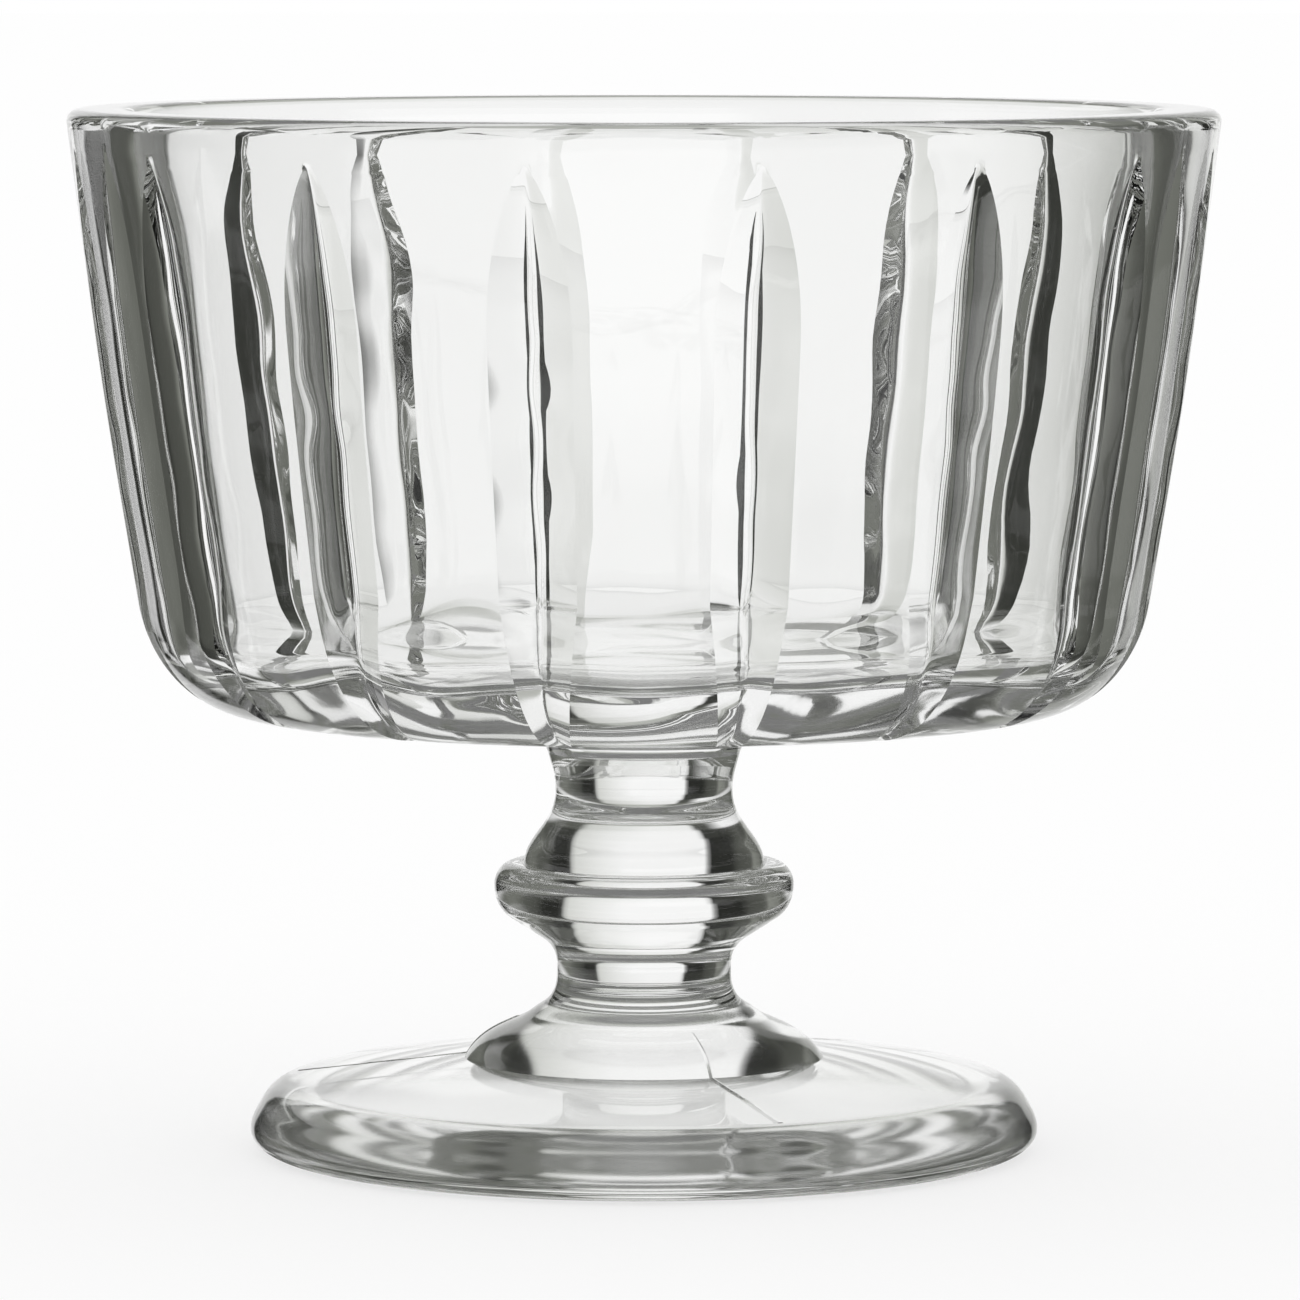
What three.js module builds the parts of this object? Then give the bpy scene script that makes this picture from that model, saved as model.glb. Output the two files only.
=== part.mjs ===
// A footed dessert glass in clear pressed glass: a fluted bowl, a baluster stem and a collared foot.
// Millimetres and degrees, +Z up. The origin is in the middle of the foot's standing ring.
// A plain panel between two flutes faces -Y.
import * as THREE from "three";

// Joints: flat discs where the hot pieces were pressed together, and the slope of the glass there
const LOWER_JOINT_RADIUS = 10.25;
const LOWER_JOINT_SLOPE = 149;
const UPPER_JOINT_RADIUS = 9.65;
const UPPER_JOINT_SLOPE = 76;

// Foot
const FOOT_RADIUS = 39.6;
const FOOT_WIDEST_HEIGHT = 2.15;
const FOOT_CONTACT_RADIUS = 36.45;
const FOOT_CONTACT_WIDTH = 3;
const FOOT_RECESS_DEPTH = 4.6;
const FOOT_EDGE_INSET = 1.1;
const FOOT_EDGE_HEIGHT = 4.9;
const FOOT_EDGE_SLOPE = 118;
const PLATE_EDGE_INSET = 4.35;
const PLATE_EDGE_HEIGHT = 7.05;
const COLLAR_RADIUS = 18;
const COLLAR_BASE_HEIGHT = 9.2;
const COLLAR_EDGE_SLOPE = 120;
const COLLAR_DOME_RADIUS = 12.65;
const COLLAR_DOME_HEIGHT = 3.9;
const COLLAR_DOME_SLOPE = 157;
const COLLAR_NECK_HEIGHT = 1.5;

// Stem, from its lower joint up
const LOWER_WAIST_RADIUS = 8.76;
const LOWER_FLARE_HEIGHT = 3;
const LOWER_WAIST_HEIGHT = 1;
const CONE_FLARE_WIDTH = 1.6;
const CONE_FLARE_HEIGHT = 2.8;
const CONE_WIDTH = 3.1;
const CONE_HEIGHT = 2;
const RING_RADIUS = 15.05;
const RING_LOWER_HEIGHT = 3.3;
const RING_UPPER_HEIGHT = 2.15;
const RING_CREST_INSET = 1.85;
const VALLEY_WIDTH = 1.1;
const VALLEY_DEPTH = 0.2;
const VALLEY_SLOPE = 225;
const BULB_TAPER = 1.8;
const BULB_HEIGHT = 3.8;
const BULB_BOTTOM_SLOPE = 92;
const BULB_TOP_SLOPE = 126;
const UPPER_WAIST_RADIUS = 8.89;
const UPPER_WAIST_RISE = 3.75;
const UPPER_FLARE_HEIGHT = 3.8;

// Bowl, from its joint up
const BOWL_HEIGHT = 64.5;
const RIM_RADIUS = 57.5;
const SIDE_BOTTOM_RADIUS = 50.65;
const SIDE_BOTTOM_SLOPE = 81;
const SIDE_TOP_SLOPE = 82.7;
const WALL = 6.5;
const LIP_ROUND = 1.3;
const BOSS_WIDTH = 4.35;
const BOSS_HEIGHT = 2.3;
const UNDERSIDE_RISE = 2;
const CORNER_WIDTH = 10.65;
const CORNER_HEIGHT = 11.1;
const BASE_THICKNESS = 7.6;
const FLOOR_RISE = 1.2;
const INNER_CORNER_WIDTH = 2.6;
const INNER_CORNER_HEIGHT = 2.6;

// Flutes pressed into the outside of the bowl
const FLUTE_COUNT = 16;
const FLUTE_TOP_WIDTH = 8.7;
const FLUTE_FOOT_WIDTH = 6.3;
const FLUTE_SLOPE = 25;
const FLUTE_TIP_WIDTH = 1.2;
const FLUTE_TIP_LENGTH = 8.5;
const FLUTE_TIP_POINT = 0.75;
const FLUTE_START = 22;
const FLUTE_FADE_LENGTH = 24;
const RIM_BAND = 2.8;

// Fineness of the curves
const FOOT_TURN_STEPS = 56;
const STEM_TURN_STEPS = 40;
const CURVE_STEPS = 4;
const PANEL_COLUMNS = 3;
const UNDERSIDE_ROWS = 4;
const CORNER_ROWS = 6;
const SIDE_ROWS = 4;
const TIP_ROWS = 4;

// The directions of an outline: outwards, up and inwards
const OUT = 0;
const UP = 90;
const IN = 180;

// How far a curve's handles reach along its chord
const HANDLE_REACH = 0.37;

// Draws one curve to a radius and a height, leaving in one direction and arriving in another.
function curveTo(outline, leave, arrive, radius, height) {
  const start = outline.currentPoint;
  const reach = HANDLE_REACH * Math.hypot(radius - start.x, height - start.y);
  const from = THREE.MathUtils.degToRad(leave);
  const to = THREE.MathUtils.degToRad(arrive);
  outline.bezierCurveTo(
    start.x + reach * Math.cos(from),
    start.y + reach * Math.sin(from),
    radius - reach * Math.cos(to),
    height - reach * Math.sin(to),
    radius,
    height,
  );
}

function slopeBetween(start, end) {
  return THREE.MathUtils.radToDeg(Math.atan2(end.y - start.y, end.x - start.x));
}

function glass(name, geometry) {
  const material = new THREE.MeshStandardMaterial({
    color: 0xeef1ee,
    roughness: 0.04,
    metalness: 0,
    transparent: true,
    opacity: 0.35,
  });
  const mesh = new THREE.Mesh(geometry, material);
  mesh.name = name;
  return mesh;
}

function turned(outline, steps) {
  const geometry = new THREE.LatheGeometry(outline.getPoints(CURVE_STEPS), steps);
  return geometry.rotateX(Math.PI / 2);
}

// Foot: hollow underside, contact ring, rounded edge, sloping plate, domed collar and the joint's neck.
function footShape() {
  const ringInner = FOOT_CONTACT_RADIUS - FOOT_CONTACT_WIDTH;
  const recessTop = new THREE.Vector2(0, 2 * FOOT_RECESS_DEPTH);
  const recessSlope = slopeBetween(recessTop, new THREE.Vector2(ringInner, 0));
  const plateEdge = new THREE.Vector2(FOOT_RADIUS - PLATE_EDGE_INSET, PLATE_EDGE_HEIGHT);
  const collarFoot = new THREE.Vector2(COLLAR_RADIUS, COLLAR_BASE_HEIGHT);
  const domeTop = COLLAR_BASE_HEIGHT + COLLAR_DOME_HEIGHT;
  const height = domeTop + COLLAR_NECK_HEIGHT;

  const outline = new THREE.Path();
  outline.moveTo(0, FOOT_RECESS_DEPTH);
  curveTo(outline, OUT, recessSlope, ringInner, 0);
  outline.lineTo(FOOT_CONTACT_RADIUS, 0);
  curveTo(outline, OUT, UP, FOOT_RADIUS, FOOT_WIDEST_HEIGHT);
  curveTo(outline, UP, FOOT_EDGE_SLOPE, FOOT_RADIUS - FOOT_EDGE_INSET, FOOT_EDGE_HEIGHT);
  curveTo(outline, FOOT_EDGE_SLOPE, slopeBetween(plateEdge, collarFoot), plateEdge.x, plateEdge.y);
  outline.lineTo(collarFoot.x, collarFoot.y);
  curveTo(outline, COLLAR_EDGE_SLOPE, COLLAR_DOME_SLOPE, COLLAR_DOME_RADIUS, domeTop);
  curveTo(outline, COLLAR_DOME_SLOPE, LOWER_JOINT_SLOPE, LOWER_JOINT_RADIUS, height);
  outline.lineTo(0, height);
  return { outline, height };
}

// Stem: lower waist, inverted cone, ring, bulb and upper waist, between its two joint faces.
function stemShape() {
  const waistTop = LOWER_FLARE_HEIGHT + LOWER_WAIST_HEIGHT;
  const coneFoot = new THREE.Vector2(LOWER_WAIST_RADIUS + CONE_FLARE_WIDTH, waistTop + CONE_FLARE_HEIGHT);
  const coneTop = new THREE.Vector2(coneFoot.x + CONE_WIDTH, coneFoot.y + CONE_HEIGHT);
  const coneSlope = slopeBetween(coneFoot, coneTop);
  const ringMiddle = coneTop.y + RING_LOWER_HEIGHT;
  const crest = new THREE.Vector2(RING_RADIUS - RING_CREST_INSET, ringMiddle + RING_UPPER_HEIGHT);
  const valley = new THREE.Vector2(crest.x - VALLEY_WIDTH, crest.y - VALLEY_DEPTH);
  const bulbTop = new THREE.Vector2(valley.x - BULB_TAPER, valley.y + BULB_HEIGHT);
  const upperWaist = bulbTop.y + UPPER_WAIST_RISE;
  const height = upperWaist + UPPER_FLARE_HEIGHT;

  const outline = new THREE.Path();
  outline.moveTo(0, 0);
  outline.lineTo(LOWER_JOINT_RADIUS, 0);
  curveTo(outline, LOWER_JOINT_SLOPE, UP, LOWER_WAIST_RADIUS, LOWER_FLARE_HEIGHT);
  outline.lineTo(LOWER_WAIST_RADIUS, waistTop);
  curveTo(outline, UP, coneSlope, coneFoot.x, coneFoot.y);
  outline.lineTo(coneTop.x, coneTop.y);
  curveTo(outline, coneSlope, UP, RING_RADIUS, ringMiddle);
  curveTo(outline, UP, IN, crest.x, crest.y);
  curveTo(outline, IN, VALLEY_SLOPE, valley.x, valley.y);
  curveTo(outline, BULB_BOTTOM_SLOPE, BULB_TOP_SLOPE, bulbTop.x, bulbTop.y);
  curveTo(outline, BULB_TOP_SLOPE, UP, UPPER_WAIST_RADIUS, upperWaist);
  curveTo(outline, UP, UPPER_JOINT_SLOPE, UPPER_JOINT_RADIUS, height);
  outline.lineTo(0, height);
  return { outline, height };
}

// The bowl's boss over the joint, and the outside of the bowl from the boss to the lip.
function bowlOutside() {
  const bossTop = new THREE.Vector2(UPPER_JOINT_RADIUS + BOSS_WIDTH, BOSS_HEIGHT);
  const cornerFoot = new THREE.Vector2(SIDE_BOTTOM_RADIUS - CORNER_WIDTH, BOSS_HEIGHT + UNDERSIDE_RISE);
  const undersideSlope = slopeBetween(bossTop, cornerFoot);

  const boss = new THREE.Path();
  boss.moveTo(UPPER_JOINT_RADIUS, 0);
  curveTo(boss, UPPER_JOINT_SLOPE, undersideSlope, bossTop.x, bossTop.y);

  const outside = new THREE.Path();
  outside.moveTo(bossTop.x, bossTop.y);
  outside.lineTo(cornerFoot.x, cornerFoot.y);
  curveTo(outside, undersideSlope, SIDE_BOTTOM_SLOPE, SIDE_BOTTOM_RADIUS, cornerFoot.y + CORNER_HEIGHT);
  curveTo(outside, SIDE_BOTTOM_SLOPE, SIDE_TOP_SLOPE, RIM_RADIUS, BOWL_HEIGHT - LIP_ROUND);
  return { boss, outside };
}

// The flat lip with its rounded edges, the smooth inner wall and the dished floor, ending on the axis.
function bowlInside() {
  const innerTop = RIM_RADIUS - WALL;
  const innerBottom = SIDE_BOTTOM_RADIUS - WALL;
  const floor = BOSS_HEIGHT + BASE_THICKNESS;
  const floorEdge = floor + FLOOR_RISE;
  const inside = new THREE.Path();
  inside.moveTo(RIM_RADIUS, BOWL_HEIGHT - LIP_ROUND);
  curveTo(inside, SIDE_TOP_SLOPE, IN, RIM_RADIUS - LIP_ROUND, BOWL_HEIGHT);
  inside.lineTo(innerTop + LIP_ROUND, BOWL_HEIGHT);
  curveTo(inside, IN, SIDE_TOP_SLOPE + IN, innerTop, BOWL_HEIGHT - LIP_ROUND);
  curveTo(inside, SIDE_TOP_SLOPE + IN, SIDE_BOTTOM_SLOPE + IN, innerBottom, floorEdge + INNER_CORNER_HEIGHT);
  const dishSlope = IN + slopeBetween(
    new THREE.Vector2(0, 0),
    new THREE.Vector2(innerBottom - INNER_CORNER_WIDTH, 2 * FLOOR_RISE),
  );
  curveTo(inside, SIDE_BOTTOM_SLOPE + IN, dishSlope, innerBottom - INNER_CORNER_WIDTH, floorEdge);
  curveTo(inside, dishSlope, IN, 0, floor);
  return inside;
}

function evenly(from, to, count) {
  return Array.from({ length: count }, (_, step) => from + ((to - from) * step) / count);
}

// One row of the bowl: a place on the outline and, where a flute crosses it, its half width and sunk floor.
function plainRow(point) {
  const pitch = (2 * Math.PI * point.x) / FLUTE_COUNT;
  return { edge: point, floor: point, halfWidth: pitch / (PANEL_COLUMNS + 3) };
}

// The rows of the fluted outside. A flute is a V that starts under the bowl and ends in a pointed tip.
function flutedRows(outside) {
  const length = outside.getLength();
  const [undersideEnd, cornerEnd] = outside.getCurveLengths();
  const tip = length - (RIM_BAND - LIP_ROUND);
  const tipFoot = tip - FLUTE_TIP_LENGTH;
  const stops = [
    ...evenly(0, undersideEnd, UNDERSIDE_ROWS),
    ...evenly(undersideEnd, cornerEnd, CORNER_ROWS),
    ...evenly(cornerEnd, tipFoot, SIDE_ROWS),
    ...evenly(tipFoot, tip, TIP_ROWS),
    tip,
  ];
  return stops.map((along) => {
    const edge = outside.getPoint(along / length);
    const tangent = outside.getTangent(along / length);
    const fade = THREE.MathUtils.clamp((along - FLUTE_START) / FLUTE_FADE_LENGTH, 0, 1);
    const toTip = Math.min(1, (tip - along) / FLUTE_TIP_LENGTH);
    const grown = fade * toTip * (2 - toTip);
    const width = THREE.MathUtils.lerp(FLUTE_FOOT_WIDTH, FLUTE_TOP_WIDTH, along / tip);
    const opened = (width * grown ** FLUTE_TIP_POINT) / 2;
    const depth = opened * Math.tan(THREE.MathUtils.degToRad(FLUTE_SLOPE));
    return {
      edge,
      floor: new THREE.Vector2(edge.x - tangent.y * depth, edge.y + tangent.x * depth),
      halfWidth: Math.max(FLUTE_TIP_WIDTH / 2, opened),
    };
  });
}

// The places of one row's columns: for each flute its two edges and its floor, then the panel beside it.
function ringOf(row) {
  const pitch = (2 * Math.PI) / FLUTE_COUNT;
  const half = row.halfWidth / row.edge.x;
  const panelStep = (pitch - 2 * half) / (PANEL_COLUMNS + 1);
  const ring = [];
  for (let flute = 0; flute < FLUTE_COUNT; flute++) {
    const middle = -Math.PI / 2 + (flute + 0.5) * pitch;
    ring.push([middle - half, row.edge], [middle, row.floor], [middle + half, row.edge]);
    for (let column = 1; column <= PANEL_COLUMNS; column++) {
      ring.push([middle + half + column * panelStep, row.edge]);
    }
  }
  return ring.map(([angle, place]) => [place.x * Math.cos(angle), place.x * Math.sin(angle), place.y]);
}

// Skins a stack of rows into one closed body, with a point on the axis at each end.
function skinned(rows, firstHeight, lastHeight) {
  const columns = FLUTE_COUNT * (PANEL_COLUMNS + 3);
  const places = [[0, 0, firstHeight], ...rows.flatMap(ringOf), [0, 0, lastHeight]];
  const at = (row, column) => 1 + row * columns + (column % columns);
  const faces = [];
  for (let column = 0; column < columns; column++) {
    faces.push(0, at(0, column + 1), at(0, column));
    for (let row = 0; row + 1 < rows.length; row++) {
      faces.push(at(row, column), at(row, column + 1), at(row + 1, column));
      faces.push(at(row, column + 1), at(row + 1, column + 1), at(row + 1, column));
    }
    faces.push(at(rows.length - 1, column), at(rows.length - 1, column + 1), places.length - 1);
  }
  const geometry = new THREE.BufferGeometry();
  geometry.setAttribute("position", new THREE.Float32BufferAttribute(places.flat(), 3));
  geometry.setIndex(faces);
  geometry.computeVertexNormals();
  return geometry;
}

function bowlGeometry() {
  const { boss, outside } = bowlOutside();
  const inside = bowlInside().getPoints(CURVE_STEPS);
  const floorCentre = inside.pop();
  const rows = [
    ...boss.getPoints(CURVE_STEPS).slice(0, -1).map(plainRow),
    ...flutedRows(outside),
    ...inside.map(plainRow),
  ];
  return skinned(rows, 0, floorCentre.y);
}

const footTurned = footShape();
const stemTurned = stemShape();

const foot = glass("foot", turned(footTurned.outline, FOOT_TURN_STEPS));

const stem = glass("stem", turned(stemTurned.outline, STEM_TURN_STEPS));
stem.position.z = footTurned.height;

const bowl = glass("bowl", bowlGeometry());
bowl.position.z = footTurned.height + stemTurned.height;

const dessertGlass = new THREE.Group();
dessertGlass.add(foot, stem, bowl);

export default dessertGlass;
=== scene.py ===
"""A footed dessert glass in clear pressed glass, with a fluted bowl, in a white studio."""

import math

import bpy
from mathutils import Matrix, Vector, noise


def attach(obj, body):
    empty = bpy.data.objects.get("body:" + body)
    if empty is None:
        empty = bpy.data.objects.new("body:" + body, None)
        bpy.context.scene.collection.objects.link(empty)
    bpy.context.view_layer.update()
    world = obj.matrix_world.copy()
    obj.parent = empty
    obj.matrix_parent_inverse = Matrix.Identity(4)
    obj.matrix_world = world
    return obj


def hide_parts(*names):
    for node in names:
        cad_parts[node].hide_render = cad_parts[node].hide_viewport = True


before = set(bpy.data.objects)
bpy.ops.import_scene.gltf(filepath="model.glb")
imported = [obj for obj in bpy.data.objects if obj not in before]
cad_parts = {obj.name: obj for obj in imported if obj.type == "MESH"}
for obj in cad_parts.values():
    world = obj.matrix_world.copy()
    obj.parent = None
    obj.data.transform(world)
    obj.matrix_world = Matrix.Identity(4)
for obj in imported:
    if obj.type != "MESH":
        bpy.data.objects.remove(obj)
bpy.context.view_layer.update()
MM = 0.001

# Joints: flat discs where the hot pieces were pressed together, and the slope of the glass there
LOWER_JOINT_RADIUS = 10.25
LOWER_JOINT_SLOPE = 149
UPPER_JOINT_RADIUS = 9.65
UPPER_JOINT_SLOPE = 76

# Foot, in millimetres and degrees
FOOT_RADIUS = 39.6
FOOT_WIDEST_HEIGHT = 2.15
FOOT_CONTACT_RADIUS = 36.45
FOOT_CONTACT_WIDTH = 3
FOOT_RECESS_DEPTH = 4.6
FOOT_EDGE_INSET = 1.1
FOOT_EDGE_HEIGHT = 4.9
FOOT_EDGE_SLOPE = 118
PLATE_EDGE_INSET = 4.35
PLATE_EDGE_HEIGHT = 7.05
COLLAR_RADIUS = 18
COLLAR_BASE_HEIGHT = 9.2
COLLAR_EDGE_SLOPE = 120
COLLAR_DOME_RADIUS = 12.65
COLLAR_DOME_HEIGHT = 3.9
COLLAR_DOME_SLOPE = 157
COLLAR_NECK_HEIGHT = 1.5

# Mould seams on top of the foot: their directions in degrees, their height, and where the columns
# across a seam lie, in radians from its middle
SEAM_ANGLES = (-68, 52, 172)
SEAM_HEIGHT = 0.07
SEAM_COLUMNS = (-0.016, -0.008, 0, 0.008, 0.016)

# Stem, from its lower joint up
LOWER_WAIST_RADIUS = 8.76
LOWER_FLARE_HEIGHT = 3
LOWER_WAIST_HEIGHT = 1
CONE_FLARE_WIDTH = 1.6
CONE_FLARE_HEIGHT = 2.8
CONE_WIDTH = 3.1
CONE_HEIGHT = 2
RING_RADIUS = 15.05
RING_LOWER_HEIGHT = 3.3
RING_UPPER_HEIGHT = 2.15
RING_CREST_INSET = 1.85
VALLEY_WIDTH = 1.1
VALLEY_DEPTH = 0.2
VALLEY_SLOPE = 225
BULB_TAPER = 1.8
BULB_HEIGHT = 3.8
BULB_BOTTOM_SLOPE = 92
BULB_TOP_SLOPE = 126
UPPER_WAIST_RADIUS = 8.89
UPPER_WAIST_RISE = 3.75
UPPER_FLARE_HEIGHT = 3.8

# Bowl, from its joint up
BOWL_HEIGHT = 64.5
RIM_RADIUS = 57.5
SIDE_BOTTOM_RADIUS = 50.65
SIDE_BOTTOM_SLOPE = 81
SIDE_TOP_SLOPE = 82.7
WALL = 6.5
LIP_ROUND = 1.3
BOSS_WIDTH = 4.35
BOSS_HEIGHT = 2.3
UNDERSIDE_RISE = 2
CORNER_WIDTH = 10.65
CORNER_HEIGHT = 11.1
BASE_THICKNESS = 7.6
FLOOR_RISE = 1.2
INNER_CORNER_WIDTH = 2.6
INNER_CORNER_HEIGHT = 2.6

# Flutes pressed into the outside of the bowl, with how far their bottoms stray aside and over what length
FLUTE_COUNT = 16
FLUTE_TOP_WIDTH = 8.7
FLUTE_FOOT_WIDTH = 6.3
FLUTE_SLOPE = 25
FLUTE_BOTTOM_ROUND = 0.1
FLUTE_TIP_WIDTH = 1.2
FLUTE_TIP_LENGTH = 17
FLUTE_TIP_POINT = 0.75
FLUTE_START = 22
FLUTE_FADE_LENGTH = 24
FLUTE_STRAY = 0.45
FLUTE_STRAY_LENGTH = 6
RIM_BAND = 4.2

# Unevenness of the inside: how far the wall waves in and out and the floor's edge up and down,
# the size of the waves, and how much stronger the floor's are at the back
WALL_WAVE = 0.07
WALL_WAVE_SIZE = 9
FLOOR_WAVE = 1.4
FLOOR_WAVE_SIZE = 13
FLOOR_WAVE_BEHIND = 2

# Steps of the outlines, and columns round the foot and the stem
CURVE_STEPS = 32
FLAT_STEPS = 4
VALLEY_STEPS = 6
TURN_COLUMNS = 192

# Rows of the bowl, with closer ones at the top of its side for the tips of the flutes
BOSS_ROWS = 8
UNDERSIDE_ROWS = 12
CORNER_ROWS = 26
SIDE_ROWS = 36
TIP_ROWS = 50
TIP_ROWS_HEIGHT = 21
LIP_ROUND_ROWS = 6
INNER_WALL_ROWS = 32
INNER_CORNER_ROWS = 12
FLOOR_ROWS = 14

# Columns of the bowl: places across a flute, in half widths from its middle, the columns on the panel
# beside it with the place that stands for a panel, and the share of the pitch that plain rows give a flute
FLUTE_COLUMNS = (0, 0.04, 0.08, 0.15, 0.3, 0.5, 0.75, 1, 1.2)
PANEL_COLUMNS = 6
PANEL_PLACE = 2
PLAIN_SHARE = 0.5

# The directions of an outline, and how far a curve's handles reach along its chord
OUT = 0
UP = 90
IN = 180
HANDLE_REACH = 0.37

# An edge that turns by more than this is drawn sharp
SHARP_ANGLE = 18

# Glass: the tint of each piece, and the height of the ripple on it in millimetres
REFRACTION = 1.5
FOOT_TINT = (0.975, 0.98, 0.97)
STEM_TINT = (0.985, 0.988, 0.982)
BOWL_TINT = (0.997, 0.999, 0.995)
FOOT_RIPPLE = 0.005
STEM_RIPPLE = 0.01
BOWL_RIPPLE = 0.006
TINT_DRIFT = 0.99
TINT_SCALE = 45
TINT_DETAIL = 2
RIPPLE_SCALE = 160
RIPPLE_DETAIL = 1

# The undersides are grained by the mould: the roughness, and how far out and up it reaches
FOOT_GRAIN = (0.09, 36.5, 5.5)
BOWL_GRAIN = (0.05, 60, 46.5)
GRAIN_EDGE = 0.5

# The studio round the glass, by direction: degrees to the left of straight behind it, and the brightness.
# A white backdrop stands behind the glass between two black flags. One light stands low at the left, one
# higher at the left between the backdrop and that side, and a broad one in front, towards the right.
LOW_SURROUND = (
    (-180, 0.15), (-50, 0.17), (-46, 0.14), (-42, 0.09), (-35, 0.06), (-31, 0.012), (-24, 0.012), (-22, 0.7),
    (-12, 0.9), (-5, 1), (19, 1), (20, 0.012), (30, 0.012), (34, 0.06), (43, 0.08), (46, 0.25), (54, 0.2),
    (58, 0.12), (63, 0.14), (75, 1), (107, 1), (122, 0.15), (180, 0.15),
)
MIDDLE_SURROUND = (
    (-180, 1), (-116, 1), (-103, 0.15), (-50, 0.17), (-45, 0.13), (-42, 0.08), (-35, 0.06), (-31, 0.03),
    (-24, 0.03), (-22, 0.7), (-12, 0.88), (-5, 0.96), (2, 1), (18, 1), (19, 0.03), (30, 0.03), (34, 0.06),
    (43, 0.08), (46, 0.2), (60, 0.13), (150, 0.15), (163, 1), (180, 1),
)
HIGH_SURROUND = (
    (-180, 0.15), (-60, 0.15), (-36, 0.1), (-24, 0.1), (-20, 0.65), (-8, 0.8), (2, 0.93), (16, 0.93),
    (18, 0.08), (23, 0.08), (31, 1), (59, 1), (70, 0.15), (180, 0.15),
)
TOP_SURROUND = ((-180, 0.18), (-22, 0.2), (-14, 0.5), (8, 0.5), (16, 0.2), (180, 0.18))
CEILING = 0.2

# The heights of the studio's bands, as the sine of the elevation where one gives way to the next
MIDDLE_BAND = 0.16
HIGH_BAND = 0.34
TOP_BAND = 0.52
CEILING_BAND = 0.7
BAND_EDGE = 0.015

# The cast of the dark parts of the studio
OLIVE = (0.96, 1, 0.87)

# The floor: its radius in metres and its columns, how far below the foot it lies, in millimetres, so that the
# two don't share a plane, its colour, the roughness of its polish, and how white it looks to the camera
# over the shadow that it keeps
FLOOR_REACH = 8
FLOOR_COLUMNS = 96
FLOOR_GAP = 0.1
FLOOR_COLOUR = (0.97, 0.97, 0.97, 1)
FLOOR_POLISH = 0.08
FLOOR_BLEACH = 0.7

# Painted light: the floor glows a light grey, in place of the lit table, to a ray straight through the glass:
# under the foot, out to a radius, and past the flags, from the angle where it starts to where it is whole. A
# steep ray counts as further aside.
PAINTED_GLOW = (0.88, 0.88, 0.88, 1)
PAINTED_GLOW_RADIUS = 36
PAINTED_GLOW_EDGE = 2
SIDES_PAST_FLAGS = (60, 75)
STEEP_GAIN = 75

# The camera: its lens and sensor in millimetres, and its place and aim in metres
CAMERA_LENS = 239.8
SENSOR_WIDTH = 36
CAMERA_PLACE = (0.0006, -0.865, 0.1263)
CAMERA_AIM = (0.0006, 0, 0.0502)
CAMERA_REACH = 30

# How often a ray may bend or bounce in the glass
BOUNCES = 32
GLOSSY_BOUNCES = 16


class Outline:
    """A half section, drawn curve by curve as (radius, height) points in millimetres."""

    def __init__(self, radius, height):
        self.points = [(radius, height)]

    def line_to(self, radius, height, steps=CURVE_STEPS):
        x, y = self.points[-1]
        for step in range(1, steps + 1):
            share = step / steps
            self.points.append((x + (radius - x) * share, y + (height - y) * share))

    def curve_to(self, leave, arrive, radius, height, steps=CURVE_STEPS):
        x, y = self.points[-1]
        reach = HANDLE_REACH * math.hypot(radius - x, height - y)
        start = Vector((x, y))
        end = Vector((radius, height))
        near = start + reach * heading(leave)
        far = end - reach * heading(arrive)
        for step in range(1, steps + 1):
            t = step / steps
            s = 1 - t
            point = s**3 * start + 3 * s * s * t * near + 3 * s * t * t * far + t**3 * end
            self.points.append((point.x, point.y))


def heading(angle):
    return Vector((math.cos(math.radians(angle)), math.sin(math.radians(angle))))


def slope_between(start, end):
    return math.degrees(math.atan2(end[1] - start[1], end[0] - start[0]))


def foot_outline():
    ring_inner = FOOT_CONTACT_RADIUS - FOOT_CONTACT_WIDTH
    plate_edge = (FOOT_RADIUS - PLATE_EDGE_INSET, PLATE_EDGE_HEIGHT)
    collar_foot = (COLLAR_RADIUS, COLLAR_BASE_HEIGHT)
    dome_top = COLLAR_BASE_HEIGHT + COLLAR_DOME_HEIGHT
    outline = Outline(0, FOOT_RECESS_DEPTH)
    outline.curve_to(OUT, slope_between((0, 2 * FOOT_RECESS_DEPTH), (ring_inner, 0)), ring_inner, 0)
    outline.line_to(FOOT_CONTACT_RADIUS, 0, FLAT_STEPS)
    outline.curve_to(OUT, UP, FOOT_RADIUS, FOOT_WIDEST_HEIGHT)
    outline.curve_to(UP, FOOT_EDGE_SLOPE, FOOT_RADIUS - FOOT_EDGE_INSET, FOOT_EDGE_HEIGHT)
    outline.curve_to(FOOT_EDGE_SLOPE, slope_between(plate_edge, collar_foot), *plate_edge)
    outline.line_to(*collar_foot)
    outline.curve_to(COLLAR_EDGE_SLOPE, COLLAR_DOME_SLOPE, COLLAR_DOME_RADIUS, dome_top)
    outline.curve_to(COLLAR_DOME_SLOPE, LOWER_JOINT_SLOPE, LOWER_JOINT_RADIUS, dome_top + COLLAR_NECK_HEIGHT)
    return outline.points


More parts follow.
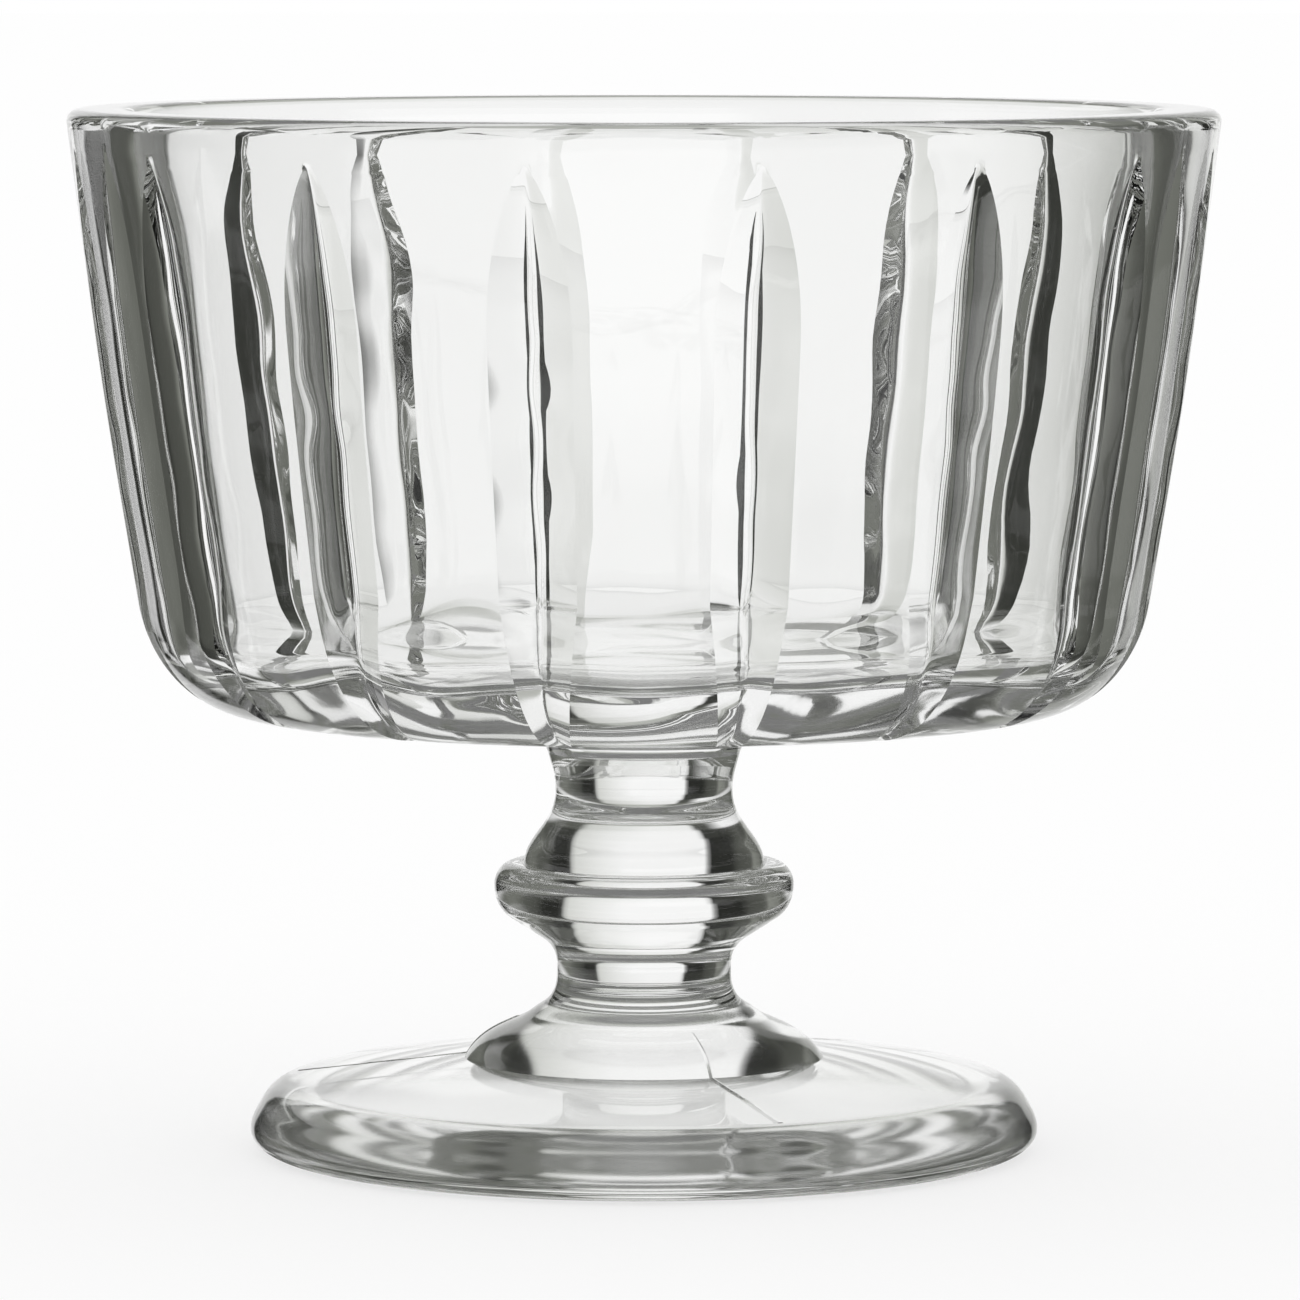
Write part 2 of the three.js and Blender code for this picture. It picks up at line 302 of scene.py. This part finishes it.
def stem_outline():
    waist_top = LOWER_FLARE_HEIGHT + LOWER_WAIST_HEIGHT
    cone_foot = (LOWER_WAIST_RADIUS + CONE_FLARE_WIDTH, waist_top + CONE_FLARE_HEIGHT)
    cone_top = (cone_foot[0] + CONE_WIDTH, cone_foot[1] + CONE_HEIGHT)
    cone_slope = slope_between(cone_foot, cone_top)
    ring_middle = cone_top[1] + RING_LOWER_HEIGHT
    crest = (RING_RADIUS - RING_CREST_INSET, ring_middle + RING_UPPER_HEIGHT)
    valley = (crest[0] - VALLEY_WIDTH, crest[1] - VALLEY_DEPTH)
    bulb_top = (valley[0] - BULB_TAPER, valley[1] + BULB_HEIGHT)
    upper_waist = bulb_top[1] + UPPER_WAIST_RISE
    outline = Outline(LOWER_JOINT_RADIUS, 0)
    outline.curve_to(LOWER_JOINT_SLOPE, UP, LOWER_WAIST_RADIUS, LOWER_FLARE_HEIGHT)
    outline.line_to(LOWER_WAIST_RADIUS, waist_top, FLAT_STEPS)
    outline.curve_to(UP, cone_slope, *cone_foot)
    outline.line_to(*cone_top)
    outline.curve_to(cone_slope, UP, RING_RADIUS, ring_middle)
    outline.curve_to(UP, IN, *crest)
    outline.curve_to(IN, VALLEY_SLOPE, *valley, VALLEY_STEPS)
    outline.curve_to(BULB_BOTTOM_SLOPE, BULB_TOP_SLOPE, *bulb_top)
    outline.curve_to(BULB_TOP_SLOPE, UP, UPPER_WAIST_RADIUS, upper_waist)
    outline.curve_to(UP, UPPER_JOINT_SLOPE, UPPER_JOINT_RADIUS, upper_waist + UPPER_FLARE_HEIGHT)
    return outline.points


def bowl_outside():
    """The boss over the joint, and the outside from the boss to the lip."""
    boss_top = (UPPER_JOINT_RADIUS + BOSS_WIDTH, BOSS_HEIGHT)
    corner_foot = (SIDE_BOTTOM_RADIUS - CORNER_WIDTH, BOSS_HEIGHT + UNDERSIDE_RISE)
    underside_slope = slope_between(boss_top, corner_foot)
    boss = Outline(UPPER_JOINT_RADIUS, 0)
    boss.curve_to(UPPER_JOINT_SLOPE, underside_slope, *boss_top, BOSS_ROWS)
    outside = Outline(*boss_top)
    outside.line_to(*corner_foot, UNDERSIDE_ROWS)
    corner_top = (SIDE_BOTTOM_RADIUS, corner_foot[1] + CORNER_HEIGHT)
    outside.curve_to(underside_slope, SIDE_BOTTOM_SLOPE, *corner_top, CORNER_ROWS)
    inset = (TIP_ROWS_HEIGHT - LIP_ROUND) / math.tan(math.radians(SIDE_TOP_SLOPE))
    tip_foot = (RIM_RADIUS - inset, BOWL_HEIGHT - TIP_ROWS_HEIGHT)
    outside.curve_to(SIDE_BOTTOM_SLOPE, SIDE_TOP_SLOPE, *tip_foot, SIDE_ROWS)
    outside.line_to(RIM_RADIUS, BOWL_HEIGHT - LIP_ROUND, TIP_ROWS)
    return boss.points, outside.points


def bowl_inside():
    """The lip, the inner wall and the dished floor."""
    inner_bottom = SIDE_BOTTOM_RADIUS - WALL
    floor = BOSS_HEIGHT + BASE_THICKNESS
    floor_edge = (inner_bottom - INNER_CORNER_WIDTH, floor + FLOOR_RISE)
    wall_top = (RIM_RADIUS - WALL, BOWL_HEIGHT - LIP_ROUND)
    wall_foot = (inner_bottom, floor_edge[1] + INNER_CORNER_HEIGHT)
    dish_slope = IN + slope_between((0, 0), (floor_edge[0], 2 * FLOOR_RISE))
    inside = Outline(RIM_RADIUS, BOWL_HEIGHT - LIP_ROUND)
    inside.curve_to(SIDE_TOP_SLOPE, IN, RIM_RADIUS - LIP_ROUND, BOWL_HEIGHT, LIP_ROUND_ROWS)
    inside.line_to(RIM_RADIUS - WALL + LIP_ROUND, BOWL_HEIGHT, FLAT_STEPS)
    inside.curve_to(IN, SIDE_TOP_SLOPE + IN, *wall_top, LIP_ROUND_ROWS)
    inside.curve_to(SIDE_TOP_SLOPE + IN, SIDE_BOTTOM_SLOPE + IN, *wall_foot, INNER_WALL_ROWS)
    inside.curve_to(SIDE_BOTTOM_SLOPE + IN, dish_slope, *floor_edge, INNER_CORNER_ROWS)
    inside.curve_to(dish_slope, IN, 0, floor, FLOOR_ROWS)
    return inside.points


def even_columns(count):
    return [2 * math.pi * column / count for column in range(count)]


def ring(radius, height, columns):
    return [(radius * math.cos(a), radius * math.sin(a), height) for a in columns]


def seamed_columns():
    """The columns round the foot, as (angle, height of a seam there)."""
    columns = [(angle, 0) for angle in even_columns(TURN_COLUMNS)]
    for degrees in SEAM_ANGLES:
        for from_middle in SEAM_COLUMNS:
            height = SEAM_HEIGHT * (1 - abs(from_middle) / SEAM_COLUMNS[-1])
            columns.append((math.radians(degrees) % (2 * math.pi) + from_middle, height))
    return sorted(columns)


def seamed_row(radius, height, columns):
    """A row of the foot, with the seams raised on its plate and its dome."""
    lift = 1 if PLATE_EDGE_HEIGHT < height < COLLAR_BASE_HEIGHT + COLLAR_DOME_HEIGHT else 0
    row = []
    for angle, seam in columns:
        r = radius + lift * seam
        row.append((r * math.cos(angle), r * math.sin(angle), height + lift * seam))
    return row


def inside_row(radius, height, columns):
    """A row of the inside, with the unevenness that the plunger left in the hot glass."""
    floor_edge = BOSS_HEIGHT + BASE_THICKNESS + FLOOR_RISE
    from_edge = abs(height - floor_edge) / (2 * INNER_CORNER_HEIGHT)
    lift = FLOOR_WAVE * max(0, 1 - from_edge) ** 2 * (radius / SIDE_BOTTOM_RADIUS) ** 2
    row = []
    for x, y, z in ring(radius, height, columns):
        place = Vector((x, y, z))
        wide = 1 + WALL_WAVE * noise.noise(place / WALL_WAVE_SIZE) / radius
        behind = 1 + FLOOR_WAVE_BEHIND * max(0, y) / radius
        rise = lift * behind * noise.noise(Vector((x, y, 0)) / FLOOR_WAVE_SIZE)
        row.append((x * wide, y * wide, z + rise))
    return row


def flute_angles(half_angle):
    """The columns round the bowl, as (angle, place across the flute in half widths)."""
    pitch = 2 * math.pi / FLUTE_COUNT
    across = [-place for place in reversed(FLUTE_COLUMNS[1:])] + list(FLUTE_COLUMNS)
    edge = FLUTE_COLUMNS[-1] * half_angle
    step = (pitch - 2 * edge) / (PANEL_COLUMNS + 1)
    angles = []
    for flute in range(FLUTE_COUNT):
        middle = -math.pi / 2 + (flute + 0.5) * pitch
        angles += [(middle + place * half_angle, place) for place in across]
        angles += [(middle + edge + column * step, PANEL_PLACE) for column in range(1, PANEL_COLUMNS + 1)]
    return angles


def flute_opening(along, tip):
    """Half the width of a flute at a place along it, from its faint start to its pointed tip."""
    fade = max(0, min(1, (along - FLUTE_START) / FLUTE_FADE_LENGTH))
    to_tip = max(0, min(1, (tip - along) / FLUTE_TIP_LENGTH))
    grown = fade * to_tip * (2 - to_tip)
    width = FLUTE_FOOT_WIDTH + (FLUTE_TOP_WIDTH - FLUTE_FOOT_WIDTH) * min(1, along / tip)
    return width * grown**FLUTE_TIP_POINT / 2


def flute_profile(across):
    """A flute's depth at a place across it, as a share of the deepest: a V with a soft bottom."""
    return max(0, 1 - math.hypot(across, FLUTE_BOTTOM_ROUND))


def stray(middle, along):
    """How far to one side the bottom of the flute at an angle lies, at a place along it."""
    place = Vector((math.cos(middle), math.sin(middle), 0)) * FLUTE_COUNT / 2
    return FLUTE_STRAY * noise.noise(place + Vector((0, 0, along / FLUTE_STRAY_LENGTH)))


def fluted_row(radius, height, tangent, along, tip):
    """A row of the outside, with its flutes pressed in square to the surface."""
    opened = flute_opening(along, tip)
    half = max(FLUTE_TIP_WIDTH / 2, opened)
    deepest = opened * math.tan(math.radians(FLUTE_SLOPE))
    row = []
    for angle, across in flute_angles(half / radius):
        depth = deepest * flute_profile(across)
        r = radius - tangent.y * depth
        middle = angle - across * half / radius
        a = angle + max(0, 1 - abs(across)) * stray(middle, along) / radius
        row.append((r * math.cos(a), r * math.sin(a), height + tangent.x * depth))
    return row


def fluted_rows(points):
    """The rows of the outside, along its outline from the boss to the lip."""
    lengths = [0]
    for (x0, y0), (x1, y1) in zip(points, points[1:]):
        lengths.append(lengths[-1] + math.hypot(x1 - x0, y1 - y0))
    tip = lengths[-1] - (RIM_BAND - LIP_ROUND)
    rows = []
    for index, (radius, height) in enumerate(points):
        before = Vector(points[max(index - 1, 0)])
        after = Vector(points[min(index + 1, len(points) - 1)])
        tangent = (after - before).normalized()
        rows.append(fluted_row(radius, height, tangent, lengths[index], tip))
    return rows


def skin(rows, low_joint, high_joint):
    """The points and faces that close a stack of rows, and each face's material: glass, or a joint's disc."""
    columns = len(rows[0])
    low = (0, 0, rows[0][0][2])
    high = (0, 0, rows[-1][0][2])
    points = [low] + [point for row in rows for point in row] + [high]
    last = len(points) - 1
    top = 1 + (len(rows) - 1) * columns
    faces = []
    materials = []
    for column in range(columns):
        after = (column + 1) % columns
        faces.append((0, 1 + after, 1 + column))
        materials.append(1 if low_joint else 0)
        for row in range(len(rows) - 1):
            here = 1 + row * columns
            above = here + columns
            faces.append((here + column, here + after, above + after, above + column))
            materials.append(0)
        faces.append((top + column, top + after, last))
        materials.append(1 if high_joint else 0)
    return points, faces, materials


def solid(name, rows, base, low_joint, high_joint):
    """One closed mesh from rows of points in millimetres, set on a base height."""
    points, faces, materials = skin(rows, low_joint, high_joint)
    mesh = bpy.data.meshes.new(name)
    mesh.from_pydata([(x * MM, y * MM, (z + base) * MM) for x, y, z in points], [], faces)
    mesh.polygons.foreach_set("material_index", materials)
    mesh.polygons.foreach_set("use_smooth", [True] * len(faces))
    mesh.set_sharp_from_angle(angle=math.radians(SHARP_ANGLE))
    piece = bpy.data.objects.new(name, mesh)
    bpy.context.scene.collection.objects.link(piece)
    return piece


# Helpers for shader nodes
def new_material(name):
    material = bpy.data.materials.new(name)
    material.use_nodes = True
    material.node_tree.nodes.clear()
    return material, material.node_tree


def add(tree, kind, **values):
    node = tree.nodes.new(kind)
    for key, value in values.items():
        setattr(node, key, value)
    return node


def maths(tree, operation, first, second=None):
    node = add(tree, "ShaderNodeMath", operation=operation)
    for socket, value in zip(node.inputs, (first, second)):
        if value is None:
            continue
        if isinstance(value, (int, float)):
            socket.default_value = value
        else:
            tree.links.new(value, socket)
    return node.outputs[0]


def rising(tree, value, low, high):
    """None below a low value, one above a high value, and a smooth rise between."""
    node = add(tree, "ShaderNodeMapRange", interpolation_type="SMOOTHSTEP")
    node.inputs["From Min"].default_value = low
    node.inputs["From Max"].default_value = high
    tree.links.new(value, node.inputs["Value"])
    return node.outputs[0]


def mixed(tree, share, first, second):
    """A colour between two others, each a socket or a grey level."""
    node = add(tree, "ShaderNodeMix", data_type="RGBA")
    tree.links.new(share, node.inputs["Factor"])
    for name, value in (("A", first), ("B", second)):
        socket = [s for s in node.inputs if s.name == name and s.type == "RGBA"][0]
        if isinstance(value, (int, float)):
            socket.default_value = (value, value, value, 1)
        else:
            tree.links.new(value, socket)
    return [s for s in node.outputs if s.type == "RGBA"][0]


def blended(tree, share, first, second):
    """A shader between two others."""
    node = add(tree, "ShaderNodeMixShader")
    for socket, value in zip(node.inputs, (share, first, second)):
        tree.links.new(value, socket)
    return node.outputs[0]


def show(tree, shader):
    output = add(tree, "ShaderNodeOutputMaterial")
    tree.links.new(shader, output.inputs["Surface"])


def axes(tree, place):
    split = add(tree, "ShaderNodeSeparateXYZ")
    tree.links.new(place, split.inputs[0])
    return split.outputs


# The glass
def drifting_tint(tree, place, tint):
    drift = add(tree, "ShaderNodeTexNoise")
    drift.inputs["Scale"].default_value = TINT_SCALE
    drift.inputs["Detail"].default_value = TINT_DETAIL
    tree.links.new(place, drift.inputs["Vector"])
    ramp = add(tree, "ShaderNodeValToRGB")
    ramp.color_ramp.elements[0].color = (*[share * TINT_DRIFT for share in tint], 1)
    ramp.color_ramp.elements[1].color = (*tint, 1)
    tree.links.new(drift.outputs["Fac"], ramp.inputs["Fac"])
    return ramp.outputs["Color"]


def rippled_normal(tree, place, ripple):
    waves = add(tree, "ShaderNodeTexNoise")
    waves.inputs["Scale"].default_value = RIPPLE_SCALE
    waves.inputs["Detail"].default_value = RIPPLE_DETAIL
    tree.links.new(place, waves.inputs["Vector"])
    bump = add(tree, "ShaderNodeBump")
    bump.inputs["Strength"].default_value = 1
    bump.inputs["Distance"].default_value = ripple * MM
    tree.links.new(waves.outputs["Fac"], bump.inputs["Height"])
    return bump.outputs["Normal"]


def grained(tree, place, roughness, reach, height):
    """The roughness of a piece's underside, up to a reach and a height, and none elsewhere."""
    x, y, z = axes(tree, place)
    squares = [maths(tree, "MULTIPLY", axis, axis) for axis in (x, y)]
    radius = maths(tree, "SQRT", maths(tree, "ADD", *squares))
    outside = rising(tree, radius, (reach - GRAIN_EDGE) * MM, (reach + GRAIN_EDGE) * MM)
    above = rising(tree, z, (height - GRAIN_EDGE) * MM, (height + GRAIN_EDGE) * MM)
    below = maths(tree, "SUBTRACT", 1, maths(tree, "MAXIMUM", outside, above))
    return maths(tree, "MULTIPLY", below, roughness)


def glass(name, tint, ripple, grain=None):
    """Clear glass with a faint tint that drifts through it, a slow ripple and perhaps a grained underside."""
    material, tree = new_material(name)
    place = add(tree, "ShaderNodeTexCoord").outputs["Object"]
    shader = add(tree, "ShaderNodeBsdfPrincipled")
    shader.inputs["Roughness"].default_value = 0
    shader.inputs["IOR"].default_value = REFRACTION
    shader.inputs["Transmission Weight"].default_value = 1
    tree.links.new(drifting_tint(tree, place, tint), shader.inputs["Base Color"])
    tree.links.new(rippled_normal(tree, place, ripple), shader.inputs["Normal"])
    if grain:
        tree.links.new(grained(tree, place, *grain), shader.inputs["Roughness"])
    show(tree, shader.outputs[0])
    return material


def fused_joint():
    """The joint's faces: the glass was hot, so nothing shows between the two pieces."""
    material, tree = new_material("fused_joint")
    clear = add(tree, "ShaderNodeBsdfTransparent")
    show(tree, clear.outputs[0])
    return material


# The studio
def azimuth(tree, place):
    """The angle of a place to the left of straight behind the glass, in radians."""
    x, y, _ = axes(tree, place)
    return maths(tree, "ARCTAN2", maths(tree, "MULTIPLY", x, -1), y)


def surround(tree, place, stops):
    """The brightness of the studio in the direction of a place, seen from the glass."""
    turn = maths(tree, "MULTIPLY_ADD", azimuth(tree, place), 1 / (2 * math.pi))
    turn.node.inputs[2].default_value = 0.5
    ramp = add(tree, "ShaderNodeValToRGB")
    stop_list = ramp.color_ramp.elements
    while len(stop_list) < len(stops):
        stop_list.new(0.5)
    for stop, (degrees, brightness) in zip(stop_list, stops):
        stop.position = degrees / 360 + 0.5
        stop.color = (*[brightness * (share + (1 - share) * brightness) for share in OLIVE], 1)
    tree.links.new(turn, ramp.inputs["Fac"])
    return ramp.outputs["Color"]


def through_glass(tree):
    """One for a ray that has come through or off the glass, and none for any other."""
    path = add(tree, "ShaderNodeLightPath")
    return maths(tree, "MAXIMUM", path.outputs["Is Glossy Ray"], path.outputs["Is Transmission Ray"])


def unturned(tree):
    """One for a ray that no surface has turned back on its way."""
    path = add(tree, "ShaderNodeLightPath")
    return maths(tree, "LESS_THAN", path.outputs["Glossy Depth"], 1)


def aside(tree, place, steepness=None):
    """One where a ray looks past the flags, and none towards the backdrop and the flags."""
    angle = maths(tree, "ABSOLUTE", azimuth(tree, place))
    if steepness:
        angle = maths(tree, "ADD", angle, maths(tree, "MULTIPLY", steepness, math.radians(STEEP_GAIN)))
    return rising(tree, angle, *[math.radians(side) for side in SIDES_PAST_FLAGS])


def make_world():
    """White for the camera, and the studio's bands for rays through or off the glass."""
    world = bpy.data.worlds.new("studio")
    world.use_nodes = True
    world.cycles.sampling_method = "NONE"
    tree = world.node_tree
    tree.nodes.clear()
    direction = add(tree, "ShaderNodeTexCoord").outputs["Generated"]
    _, _, height = axes(tree, direction)
    seen = surround(tree, direction, LOW_SURROUND)
    bands = ((MIDDLE_BAND, MIDDLE_SURROUND), (HIGH_BAND, HIGH_SURROUND), (TOP_BAND, TOP_SURROUND))
    for band, stops in bands:
        share = rising(tree, height, band - BAND_EDGE, band + BAND_EDGE)
        seen = mixed(tree, share, seen, surround(tree, direction, stops))
    share = rising(tree, height, CEILING_BAND - BAND_EDGE, CEILING_BAND + BAND_EDGE)
    seen = mixed(tree, share, seen, CEILING)
    white = maths(tree, "MULTIPLY", aside(tree, direction), unturned(tree))
    seen = mixed(tree, white, seen, 1.0)
    background = add(tree, "ShaderNodeBackground")
    tree.links.new(mixed(tree, through_glass(tree), 1.0, seen), background.inputs["Color"])
    output = add(tree, "ShaderNodeOutputWorld")
    tree.links.new(background.outputs[0], output.inputs["Surface"])
    bpy.context.scene.world = world


def camera_floor(tree):
    """The floor as the camera sees it: nearly white, with the glass's shadow."""
    lit = add(tree, "ShaderNodeBsdfDiffuse")
    lit.inputs["Color"].default_value = FLOOR_COLOUR
    plain = add(tree, "ShaderNodeEmission")
    path = add(tree, "ShaderNodeLightPath")
    bleached = maths(tree, "MULTIPLY", path.outputs["Is Camera Ray"], FLOOR_BLEACH)
    return blended(tree, bleached, lit.outputs[0], plain.outputs[0])


def painted_glow_share(tree):
    """One where the floor glows with painted light for an unturned ray, in place of the lit table: under the
    foot and past the flags.
    """
    place = add(tree, "ShaderNodeNewGeometry").outputs["Position"]
    away = add(tree, "ShaderNodeVectorMath", operation="LENGTH")
    tree.links.new(place, away.inputs[0])
    outside = rising(tree, away.outputs["Value"], (PAINTED_GLOW_RADIUS - PAINTED_GLOW_EDGE) * MM, PAINTED_GLOW_RADIUS * MM)
    steepness = maths(tree, "SUBTRACT", 1, add(tree, "ShaderNodeLayerWeight").outputs["Facing"])
    shown = maths(tree, "MAXIMUM", maths(tree, "SUBTRACT", 1, outside), aside(tree, place, steepness))
    return maths(tree, "MULTIPLY", shown, unturned(tree))


def glass_floor(tree):
    """The floor as the glass shows it: polished, so that it mirrors the studio, and in places a glow of
    painted light.
    """
    polish = add(tree, "ShaderNodeBsdfGlossy")
    polish.inputs["Color"].default_value = FLOOR_COLOUR
    polish.inputs["Roughness"].default_value = FLOOR_POLISH
    # Painted light: an emission that stands in for the table lit under the foot and past the flags
    painted_glow = add(tree, "ShaderNodeEmission")
    painted_glow.inputs["Color"].default_value = PAINTED_GLOW
    return blended(tree, painted_glow_share(tree), polish.outputs[0], painted_glow.outputs[0])


def make_floor():
    material, tree = new_material("studio_floor")
    show(tree, blended(tree, through_glass(tree), camera_floor(tree), glass_floor(tree)))
    mesh = bpy.data.meshes.new("floor")
    points = ring(FLOOR_REACH, -FLOOR_GAP * MM, even_columns(FLOOR_COLUMNS))
    mesh.from_pydata(points, [], [tuple(range(FLOOR_COLUMNS))])
    mesh.materials.append(material)
    floor = bpy.data.objects.new("floor", mesh)
    bpy.context.scene.collection.objects.link(floor)


def make_camera():
    data = bpy.data.cameras.new("camera")
    data.lens = CAMERA_LENS
    data.sensor_width = SENSOR_WIDTH
    data.clip_end = CAMERA_REACH
    camera = bpy.data.objects.new("camera", data)
    camera.location = CAMERA_PLACE
    aim = Vector(CAMERA_AIM) - Vector(CAMERA_PLACE)
    camera.rotation_mode = "QUATERNION"
    camera.rotation_quaternion = aim.to_track_quat("-Z", "Y")
    bpy.context.scene.collection.objects.link(camera)
    bpy.context.scene.camera = camera


# The three pieces
def make_foot(joint):
    columns = seamed_columns()
    points = foot_outline()
    rows = [seamed_row(r, z, columns) for r, z in points[1:]]
    piece = solid("pressed_foot", rows, 0, False, True)
    piece.data.vertices[0].co.z = points[0][1] * MM
    piece.data.materials.append(glass("foot_glass", FOOT_TINT, FOOT_RIPPLE, FOOT_GRAIN))
    piece.data.materials.append(joint)
    return piece, points[-1][1]


def make_stem(joint, base):
    columns = even_columns(TURN_COLUMNS)
    points = stem_outline()
    rows = [ring(r, z, columns) for r, z in points]
    piece = solid("pressed_stem", rows, base, True, True)
    piece.data.materials.append(glass("stem_glass", STEM_TINT, STEM_RIPPLE))
    piece.data.materials.append(joint)
    return piece, base + points[-1][1]


def make_bowl(joint, base):
    boss, outside = bowl_outside()
    inside = bowl_inside()
    columns = [angle for angle, _ in flute_angles(math.pi / FLUTE_COUNT * PLAIN_SHARE)]
    rows = [ring(r, z, columns) for r, z in boss[:-1]]
    rows += fluted_rows(outside)
    rows += [inside_row(r, z, columns) for r, z in inside[1:-1]]
    piece = solid("pressed_bowl", rows, base, True, False)
    piece.data.vertices[-1].co.z = (base + inside[-1][1]) * MM
    piece.data.materials.append(glass("bowl_glass", BOWL_TINT, BOWL_RIPPLE, BOWL_GRAIN))
    piece.data.materials.append(joint)
    return piece


def settle(piece, node):
    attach(piece, "root")
    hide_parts(node)


scene = bpy.context.scene
scene.view_settings.view_transform = "Standard"
scene.cycles.max_bounces = BOUNCES
scene.cycles.transmission_bounces = BOUNCES
scene.cycles.glossy_bounces = GLOSSY_BOUNCES
scene.cycles.transparent_max_bounces = BOUNCES

make_camera()
make_world()
make_floor()

joint_glass = fused_joint()
foot, foot_top = make_foot(joint_glass)
stem, stem_top = make_stem(joint_glass, foot_top)
bowl = make_bowl(joint_glass, stem_top)
settle(foot, "foot")
settle(stem, "stem")
settle(bowl, "bowl")
